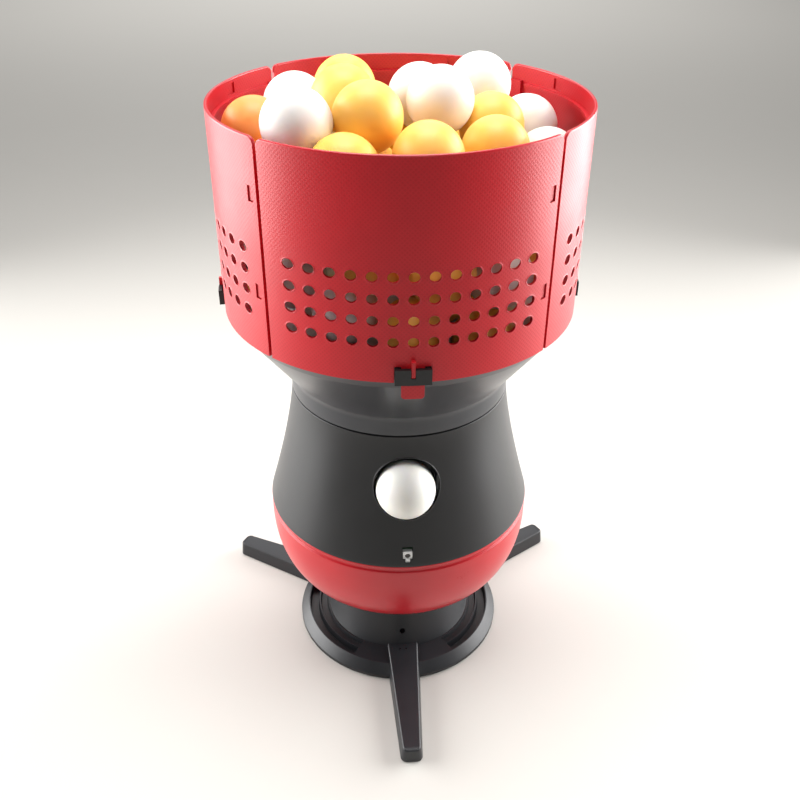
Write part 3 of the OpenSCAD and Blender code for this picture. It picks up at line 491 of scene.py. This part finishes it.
def upperRadius(z, h=head):
    # radius of the black shell: neck plus the rest times (1 - t) to the taper, t from the seam to the neck
    t = np.clip((np.asarray(z, float) - h["seam"]) / (h["neck"] - h["seam"]), 0, 1)
    return h["neckR"] + (h["bodyR"] - h["neckR"]) * (1 - t) ** h["taper"]


def makeUpperShell(h):
    # the power curve outside, the same curve a wall thickness inside, both ends eased by small arcs
    z = np.linspace(h["seam"] + 0.5, h["neck"] - 1.0, 64)
    inside = np.linspace(h["neck"], h["seam"], 30)
    foot, neck = upperRadius(h["seam"]), upperRadius(h["neck"])
    outline = np.concatenate([
        [[foot - 0.5, h["seam"]], [foot - 0.12, h["seam"] + 0.15]], np.c_[upperRadius(z), z],
        [[neck - 0.15, h["neck"] - 0.8], [neck - 1.0, h["neck"] - 0.65], [neck - 1.0, h["neck"]]],
        np.c_[upperRadius(inside) - h["wall"], inside]])
    shell = turnedShell("upperShell", outline, shellBlack)
    ahead, behind = -h["bodyR"] - 1, -60
    window = cutterBlock((-h["windowW"] / 2, ahead, h["windowZ"]),
                         (h["windowW"] / 2, behind, h["windowZ"] + h["windowH"]))
    notch = cutterBlock((-h["notchHalf"], ahead, h["windowZ"] - h["notchDrop"]),
                        (h["notchHalf"], behind, h["windowZ"] + 1))
    carve(shell, [cutterRod(0, h["outletZ"], h["outletR"], ahead, -40, 128), window, notch])
    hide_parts("upper_shell")
    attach(shell, "head")
    # the outlet's lip: a small round bead carried along the curve where the bore meets the shell
    around, across = 128, 12
    turn = np.linspace(0, 2 * np.pi, around, endpoint=False)[:, None]
    section = np.linspace(0, 2 * np.pi, across, endpoint=False)[None, :]
    radius = h["outletR"] + h["outletBead"] * (1 + np.cos(section)) * 0.5
    x, z = radius * np.cos(turn), h["outletZ"] + radius * np.sin(turn)
    y = -np.sqrt(upperRadius(z) ** 2 - x ** 2) - h["outletBead"] * 0.45 * np.sin(section)
    rim = putMesh("outletRim", np.stack([x, y, z], -1).reshape(-1, 3), gridFaces(around, across, True, True),
                  shellBlack, sharp=80)
    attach(rim, "head")


def makeLowerShell(h):
    # a quarter ellipse from the floor to the bulge, a plain band, a groove and a lip under the seam
    bodyR, wide, tall = h["bodyR"], h["bodyR"] - h["footR"], h["bulge"] - h["bottom"]
    a = np.linspace(0.02, np.pi / 2, 40)
    out = np.c_[h["footR"] + wide * np.sin(a), h["bulge"] - tall * np.cos(a)]
    gTop = h["seam"] - h["lip"]
    gLow, gIn, lipIn = gTop - h["grooveTall"], bodyR - h["grooveDeep"], bodyR - h["lipThick"]
    band = softOutline([
        (bodyR, h["bulge"] + 1, 0), (bodyR, gLow, 0.5), (gIn, gLow + 0.6, 0.5), (gIn, gTop - 0.4, 0.3),
        (bodyR, gTop, 0.3), (bodyR, h["seam"], 0.3), (lipIn, h["seam"], 0), (lipIn, h["bulge"] + 1, 0)],
        step=2.5, arcs=4)
    b = np.linspace(np.pi / 2, 0.33, 22)
    inner = np.c_[h["footR"] + wide * np.sin(b) - h["wall"] - 0.6, h["bulge"] - tall * np.cos(b)]
    inner = inner[inner[:, 1] > h["floor"] + 0.5]
    collarTop = h["floor"] + h["collarUp"]
    outline = np.concatenate([
        [[h["postHole"], h["bottom"]], [40, h["bottom"]], [h["footR"] - 0.6, h["bottom"]]], out, band, inner,
        [[inner[-1, 0] - 1.5, h["floor"]], [40, h["floor"]], [h["collarR"], h["floor"]], [h["collarR"], collarTop],
         [h["postHole"], collarTop]]])
    shell = turnedShell("lowerShell", outline, shellRed)
    carve(shell, [cutterBlock((-h["socketW"] / 2, h["socketY"] - 3.5, h["socketZ"] - h["socketH"] / 2),
                              (h["socketW"] / 2, h["bodyR"] + 1, h["socketZ"] + h["socketH"] / 2))])
    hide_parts("lower_shell")
    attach(shell, "head")


makeUpperShell(head)
makeLowerShell(head)
print("head shells")


bowl = {
    "neckR": 75.8, "neckZ": 225.05, "spigot": 6.0, "coveZ": 239.05, "flareR": 108.5, "flareZ": 282.05, "rimR": 113.3,
    "rimTop": 298.05, "wall": 2.6, "floorZ": 231.05, "floorT": 3.0, "dropY": 47.7, "dropR": 21.5, "shaftR": 4.0,
    "keeperHalf": 10.35, "keeperTall": 7.9, "seatDeep": 1.5, "hopperR": 116.0,
}


def makeBowl(b):
    # neck, cove, straight flare and a short upright rim, each corner rounded by an arc; its floor is part of it
    w, spigotR, spigotZ = b["wall"], b["neckR"] - 2.4, b["neckZ"] - b["spigot"]
    outline = softOutline([
        (b["neckR"] - w - 2.0, spigotZ, 0), (spigotR, spigotZ, 0),
        (spigotR, b["neckZ"], 0), (b["neckR"] - 1.0, b["neckZ"], 0), (b["neckR"] - 1.0, b["neckZ"] + 0.4, 0.1),
        (b["neckR"], b["neckZ"] + 0.4, 0.35), (b["neckR"], b["coveZ"] - 0.5, 9),
        (b["flareR"], b["flareZ"], 5), (b["rimR"], b["flareZ"] + 8, 5), (b["rimR"], b["rimTop"], 0.5),
        (b["rimR"] - 3, b["rimTop"], 0.5), (b["rimR"] - 3, b["flareZ"] + 9, 5),
        (b["flareR"] - w * 0.9, b["flareZ"] + w * 0.8, 5), (b["neckR"] - w, b["coveZ"] + 2.0, 9),
        (b["neckR"] - w, b["floorZ"] + b["floorT"], 1.2), (b["shaftR"], b["floorZ"] + b["floorT"], 0),
        (b["shaftR"], b["floorZ"], 0), (b["neckR"] - w - 2, b["floorZ"], 0)],
        step=3, arcs=7)
    half = math.degrees(math.asin(b["keeperHalf"] / b["hopperR"]))
    sides = [a + k for a in (0, 90, 180, 270) for k in (-half - 0.02, -half + 0.02, half - 0.02, half + 0.02)]
    angles = np.unique(np.concatenate([np.arange(0, 360, 1.5), sides]) % 360)

    def keeperSeat(r, a, z):
        # the rim's outside steps in behind each keeper
        near = np.abs((a + 45) % 90 - 45) < half
        seatR = b["rimR"] - b["seatDeep"]
        return np.where(near & (z > b["rimTop"] - b["keeperTall"]) & (r > seatR), seatR, r), z

    piece = turnedShell("hopperBowl", outline, bowlGrey, angles=angles, change=keeperSeat)
    carve(piece, [cutterPost(0, b["dropY"], b["dropR"], b["floorZ"] - 4, b["floorZ"] + 8)])
    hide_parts("hopper_bowl")
    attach(piece, "head")


makeBowl(bowl)
print("hopper bowl")


panel = {
    "radius": 116.0, "inside": 113.8, "half": 44.358, "top": 420.05, "corner": 4.0, "rimHigh": 0.85, "rimCuts": 72,
    "ventColumns": 13, "ventRows": 4, "ventPitch": 11.3, "ventRow": 13.1, "ventLow": 315.75, "ventR": 3.5,
    "ventBead": 0.36, "ventSides": 14,
}


def makePanel(node, turn, p):
    # the CAD wall, merged, with exact round normals on its curved faces and a flat map in metres
    mesh = nodes[node].data.copy()
    work = bmesh.new()
    work.from_mesh(mesh)
    bmesh.ops.remove_doubles(work, verts=work.verts, dist=1e-6)
    work.to_mesh(mesh)
    work.free()
    co = np.zeros(len(mesh.vertices) * 3)
    mesh.vertices.foreach_get("co", co)
    co = co.reshape(-1, 3)
    loops = np.zeros(len(mesh.loops), int)
    mesh.loops.foreach_get("vertex_index", loops)
    faceN = np.zeros(len(mesh.polygons) * 3)
    mesh.polygons.foreach_get("normal", faceN)
    count = np.zeros(len(mesh.polygons), int)
    mesh.polygons.foreach_get("loop_total", count)
    faceN = np.repeat(faceN.reshape(-1, 3), count, 0)
    radial = co[loops] * [1, 1, 0]
    radial /= np.linalg.norm(radial, axis=1, keepdims=True)
    along = (radial * faceN).sum(1)
    curved = np.abs(along) > 0.95
    normals = np.where(curved[:, None], radial * np.sign(along)[:, None], faceN)
    angle = (np.degrees(np.arctan2(co[:, 0], -co[:, 1])) - turn + 180) % 360 - 180
    flat = np.c_[np.radians(angle) * p["radius"] * mm, co[:, 2]]
    mesh.uv_layers.new(name="wall").data.foreach_set("uv", flat[loops].ravel())
    mesh.shade_smooth()
    mesh.normals_split_custom_set(normals.tolist())
    mesh.materials.clear()
    mesh.materials.append(panelRed)
    name = node.replace("panel_", "wall")
    piece = bpy.data.objects.new(name, mesh)
    bpy.context.scene.collection.objects.link(piece)
    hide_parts(node)
    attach(piece, "hopper_wall")

    # eased mouths of the vents: a fine bead carried round each hole where it meets the wall
    turnRing = np.linspace(0, 2 * np.pi, p["ventSides"], endpoint=False)[None, :, None]
    section = np.radians([0, 90, 180, 270])[None, None, :]
    columns = (np.arange(p["ventColumns"]) - p["ventColumns"] // 2) * p["ventPitch"]
    cx, cz = np.meshgrid(columns, p["ventLow"] + np.arange(p["ventRows"]) * p["ventRow"], indexing="ij")
    cx, cz = cx.ravel()[:, None, None], cz.ravel()[:, None, None]
    ringR = p["ventR"] + p["ventBead"] * np.cos(section)
    x, z = cx + ringR * np.cos(turnRing), cz + ringR * np.sin(turnRing)
    y = -np.sqrt(p["radius"] ** 2 - x ** 2) - p["ventBead"] * 0.6 * np.sin(section)
    tube = gridFaces(p["ventSides"], 4, True, True)
    faces = (tube[None] + (np.arange(len(cx)) * p["ventSides"] * 4)[:, None, None]).reshape(-1, 4)
    beads = putMesh(name + "VentRims", spin(np.stack([x, y, z], -1).reshape(-1, 3), turn), faces, shellRed, sharp=100)
    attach(beads, "hopper_wall")

    # rounded rim: half an ellipse carried along the wall's upper edge and round its two corners
    c, half = p["corner"], math.radians(p["half"])
    bend = np.linspace(0, np.pi / 2, 8)
    midR = (p["radius"] + p["inside"]) / 2
    width = half * midR
    straight = np.linspace(-width + c, width - c, p["rimCuts"])[1:-1]
    level = np.full(len(straight), p["top"])
    arc = np.concatenate([-width + c - c * np.cos(bend), straight, width - c + c * np.sin(bend)])
    rise = np.concatenate([p["top"] - c + c * np.sin(bend), level, p["top"] - c + c * np.cos(bend)])
    outX = np.concatenate([-np.cos(bend), np.zeros(len(straight)), np.sin(bend)])
    outZ = np.concatenate([np.sin(bend), np.ones(len(straight)), np.cos(bend)])
    s = np.radians(np.r_[-40, np.linspace(0, 180, 9), 220])
    thick = (p["radius"] - p["inside"]) / 2
    high = np.maximum(np.sin(s), -0.35) * p["rimHigh"]
    r = midR + thick * np.cos(s)[None, :] * np.where(np.sin(s) < 0, 0.7, 1.0)[None, :]
    along = (arc[:, None] + outX[:, None] * high[None, :]) / midR
    z = rise[:, None] + outZ[:, None] * high[None, :]
    pts = np.stack([r * np.sin(along), -r * np.cos(along), z], -1).reshape(-1, 3)
    rim = putMesh(name + "Rim", spin(pts, turn), cappedFaces(len(arc), len(s)), shellRed, sharp=60)
    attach(rim, "hopper_wall")


for panelNode, panelTurn in (("panel_front", 0), ("panel_right", 90), ("panel_back", 180), ("panel_left", 270)):
    makePanel(panelNode, panelTurn, panel)
print("hopper wall")


balls = {
    "radius": 19.9, "reach": 90.8, "count": 84, "highest": 388, "seed": 7, "outlet": (-0.6, -78.5, 184.2),
    # how the fill settles: steps, the heights it starts between, the pull per step and when it stops
    "steps": 700, "startLow": 285, "startHigh": 395, "gap": 0.2, "give": 0.6, "pull": 0.25, "pullFor": 0.75,
    "mostOverlap": 2.5,
    # the flare as a cone: a point of it as radius and height, and its slope
    "flareR": 75.8, "flareZ": 243.85, "flareOut": 0.798, "flareUp": 0.6025, "flareGap": 0.6,
    # heights of a ball's centre over the guard at the back and over the disc, which rises as a cone to its hub
    "guardY": 10, "overGuard": 285.0, "overDisc": 278.0, "coneRise": 9.5, "coneFlat": 10, "coneRun": 30,
    # the balls that show on top, listed one by one: x, y, z and colour
    "top": [
        (-60.3, -60.0, 421.2, "w"), (-87.4, -11.0, 404.2, "o"), (-63.8, 19.2, 410.7, "w"), (-32.9, 44.0, 415.0, "y"),
        (-34.0, -6.1, 420.4, "y"), (-21.6, -51.0, 421.7, "y"), (-2.0, 49.0, 389.5, "y"), (13.2, 21.0, 415.0, "w"),
        (22.0, -17.0, 421.8, "w"), (51.6, 30.0, 419.0, "w"), (54.5, -7.9, 403.9, "y"), (50.9, -47.9, 401.1, "y"),
        (10.0, -75.8, 406.4, "y"), (85.3, -28.7, 388.4, "w"), (-35.6, -83.5, 402.7, "y"), (-21.7, -36.1, 384.7, "y"),
        (-69.2, -41.4, 387.7, "y"), (81.4, 20.8, 395.2, "w"), (42.2, 43.7, 383.0, "w"), (-40.5, 61.0, 379.5, "w"),
        (-83.1, 37.2, 381.8, "w"),
    ],
}


def settle(b):
    # the rest of the fill: seeded points pushed apart where closer than a diameter, pulled down,
    # and held inside the wall, the bowl's flare and the feeder; the placed balls stay still
    rng = np.random.default_rng(b["seed"])
    fixed = np.array([t[:3] for t in b["top"]])
    n, d = b["count"], 2 * b["radius"] + b["gap"]
    a, r = rng.uniform(0, 2 * np.pi, n), b["reach"] * np.sqrt(rng.uniform(0, 1, n))
    free = np.c_[r * np.cos(a), r * np.sin(a), rng.uniform(b["startLow"], b["startHigh"], n)]
    share = np.concatenate([np.full(n, 0.5), np.ones(len(fixed))])[None]
    for step in range(b["steps"]):
        everyone = np.concatenate([free, fixed])
        gap = free[:, None] - everyone[None]
        far = np.linalg.norm(gap, axis=2) + 1e-9
        far[np.arange(n), np.arange(n)] = 1e6
        push = np.clip(d - far, 0, None)
        free += (gap / far[..., None] * (push * share * b["give"])[..., None]).sum(1)
        free[:, 2] -= b["pull"] if step < b["steps"] * b["pullFor"] else 0.0
        rho = np.hypot(free[:, 0], free[:, 1])
        free[:, :2] *= np.minimum(1, b["reach"] / np.maximum(rho, 1e-6))[:, None]
        rho = np.minimum(rho, b["reach"])
        inside = (b["flareR"] - rho) * b["flareOut"] + (free[:, 2] - b["flareZ"]) * b["flareUp"]
        low = np.clip(-(inside - b["radius"] - b["flareGap"]), 0, None)
        radial = free[:, :2] / np.maximum(rho, 1e-6)[:, None]
        free[:, :2] -= radial * (b["flareOut"] * low)[:, None]
        free[:, 2] += b["flareUp"] * low
        cone = b["overDisc"] + b["coneRise"] * np.clip(1 - (rho - b["coneFlat"]) / b["coneRun"], 0, 1)
        free[:, 2] = np.maximum(free[:, 2], np.where(free[:, 1] > b["guardY"], b["overGuard"], cone))
    gap = np.linalg.norm(free[:, None] - np.concatenate([free, fixed])[None], axis=2)
    gap[np.arange(n), np.arange(n)] = 1e6
    closest, highest = round(float(gap.min()), 2), round(float(free[:, 2].max()), 1)
    print("balls settled, closest centres", closest, "mm, highest", highest)
    keep = (gap.min(1) > d - b["mostOverlap"]) & (free[:, 2] < b["highest"])
    return free[keep], rng


def ballCluster(name, centres, material, radius, rng, around=40, bands=20):
    # unit sphere of latitude bands between two poles, turned at random for each centre and carried there
    lat = np.linspace(-np.pi / 2, np.pi / 2, bands + 1)[1:-1]
    lon = np.arange(around) * 2 * np.pi / around
    la, lo = np.meshgrid(lat, lon, indexing="ij")
    skin = np.stack([np.cos(la) * np.cos(lo), np.cos(la) * np.sin(lo), np.sin(la)], -1).reshape(-1, 3)
    ball = np.concatenate([skin, [[0, 0, -1], [0, 0, 1]]])
    height = np.concatenate([(la / np.pi + 0.5).ravel(), [0, 1]])
    rows = len(lat)
    faces = gridFaces(rows, around, False, True).tolist()
    k = np.arange(around)
    after, last = (k + 1) % around, (rows - 1) * around
    faces += np.stack([after, k, np.full(around, rows * around)], -1).tolist()
    faces += np.stack([last + k, last + after, np.full(around, rows * around + 1)], -1).tolist()
    points, allFaces, flat = [], [], []
    for i, centre in enumerate(centres):
        turn = np.linalg.qr(rng.normal(size=(3, 3)))[0]
        turn *= np.sign(np.linalg.det(turn))
        points.append(ball @ turn.T * radius + centre)
        allFaces += [[v + i * len(ball) for v in f] for f in faces]
        flat.append(np.c_[np.zeros(len(ball)), height])
    piece = putMesh(name, np.concatenate(points), allFaces, material, np.concatenate(flat), sharp=80,
                    fixNormals=False)
    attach(piece, "head")


def fillHopper(b):
    under, rng = settle(b)
    tops = np.array([t[:3] for t in b["top"]])
    kinds = np.array([t[3] for t in b["top"]])
    ballCluster("ballsTopWhite", tops[kinds == "w"], ballWhite, b["radius"], rng, 56, 28)
    ballCluster("ballsTopAmber", tops[kinds == "y"], ballYellow, b["radius"], rng, 56, 28)
    ballCluster("ballsTopOrange", tops[kinds == "o"], ballOrange, b["radius"], rng, 56, 28)
    pick = rng.random(len(under)) < 0.5
    ballCluster("ballsFillWhite", under[pick], ballWhite, b["radius"], rng, 28, 14)
    ballCluster("ballsFillAmber", under[~pick], ballYellow, b["radius"], rng, 28, 14)
    ballCluster("ballOutlet", np.array([b["outlet"]]), ballWhite, b["radius"], rng, 96, 48)


fillHopper(balls)
print("balls")


studio = {
    "floor": "#c9c6c0", "floorHalf": 8.0, "world": "#ffffff", "worldStrength": 0.14,
    # each light's place, aim and size in metres, its watts and its spread in degrees
    "lights": {"sideLeft": ((-0.85, 0.20, 0.44), (0, 0, 0.38), 1.0, 12.0, 110),
               "sideRight": ((0.85, 0.20, 0.44), (0, 0, 0.38), 1.0, 13.5, 110),
               "overhead": ((0.0, 0.15, 1.5), (0, 0, 0.3), 0.8, 8.0, 120),
               "front": ((0.1, -1.6, 1.2), (0, 0, 0.2), 0.6, 1.6, 120),
               "farFloor": ((0.0, 3.6, 2.4), (0, 3.0, 0), 3.0, 60.0, 140)},
}


def makeStudio(s):
    # a flat square of four quads, painted matt
    k = np.linspace(-s["floorHalf"], s["floorHalf"], 3)
    x, y = np.meshgrid(k, k, indexing="ij")
    floorLook = mouldedPlastic("paintedFloorMatt", (s["floor"], s["floor"]), (0.7, 0.85),
                               grain=6, relief=0.01, patch=400)
    ground = putMesh("studioFloor", np.stack([x, y, np.zeros_like(x)], -1).reshape(-1, 3) / mm, gridFaces(3, 3),
                     floorLook, fixNormals=False)
    for name, (place, aim, width, watts, spread) in s["lights"].items():
        lamp = bpy.data.lights.new(name, "AREA")
        lamp.size, lamp.energy, lamp.spread = width, watts, math.radians(spread)
        lampObject = bpy.data.objects.new(name, lamp)
        lampObject.location = place
        lampObject.rotation_euler = (Vector(aim) - Vector(place)).to_track_quat("-Z", "Y").to_euler()
        bpy.context.scene.collection.objects.link(lampObject)
    world = bpy.data.worlds.new("softRoom")
    world.use_nodes = True
    sky = world.node_tree.nodes["Background"]
    sky.inputs["Color"].default_value = linear(s["world"])
    sky.inputs["Strength"].default_value = s["worldStrength"]
    bpy.context.scene.world = world
    bpy.context.scene.view_settings.view_transform = "Standard"


# place in metres, angles in degrees, lens in mm
view = {"place": (-0.0378, -0.5569, 0.561), "yaw": 3.95, "down": 32.57, "roll": 0.33, "lens": 41.12}


def makeCamera(v):
    yaw, down = math.radians(v["yaw"]), math.radians(v["down"])
    look = Vector((math.sin(yaw) * math.cos(down), math.cos(yaw) * math.cos(down), -math.sin(down)))
    lens = bpy.data.cameras.new("camera")
    lens.lens, lens.sensor_width, lens.clip_start, lens.clip_end = v["lens"], 36.0, 0.01, 50.0
    eye = bpy.data.objects.new("camera", lens)
    turn = look.to_track_quat("-Z", "Y").to_matrix().to_4x4() @ Matrix.Rotation(math.radians(v["roll"]), 4, "Z")
    eye.matrix_world = Matrix.Translation(v["place"]) @ turn
    bpy.context.scene.collection.objects.link(eye)
    bpy.context.scene.camera = eye


makeStudio(studio)
makeCamera(view)
print("studio and camera")
